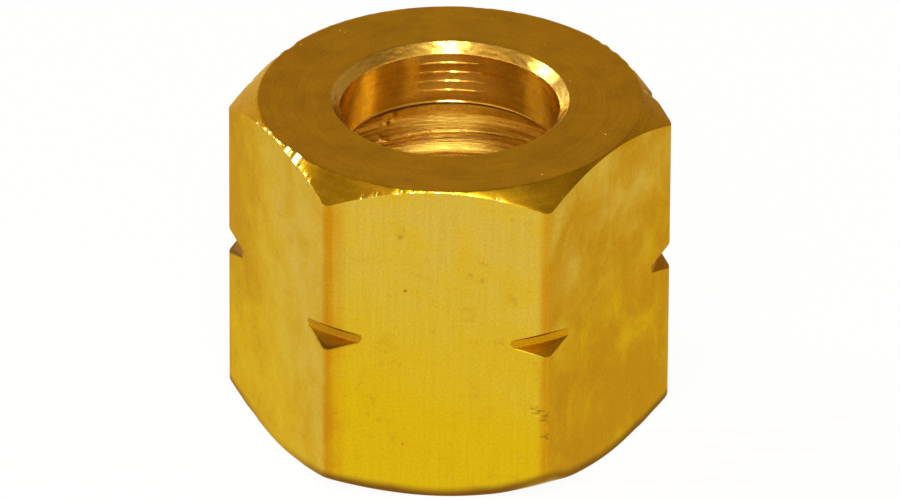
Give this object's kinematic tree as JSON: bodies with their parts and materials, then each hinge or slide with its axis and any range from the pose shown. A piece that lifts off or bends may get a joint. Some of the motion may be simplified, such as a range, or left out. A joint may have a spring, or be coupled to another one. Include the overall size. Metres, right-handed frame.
{
  "type": "union nut",
  "caption": "Hexagonal brass union nut with a left-hand inner thread, a bored end wall and a V groove across its corners.",
  "frame": {"origin": "on the axis of the nut, in the plane of its open threaded end", "axes": "+Z along the axis of the nut, from the threaded end towards the bored end wall; two of the six flats face -Y and +Y"},
  "size_m": [0.0344, 0.03, 0.027],
  "materials": {
    "brass": "turned ends and drawn flats, lightly stained"
  },
  "bodies": {
    "root": {"union_nut": "brass"}
  },
  "joints": []
}
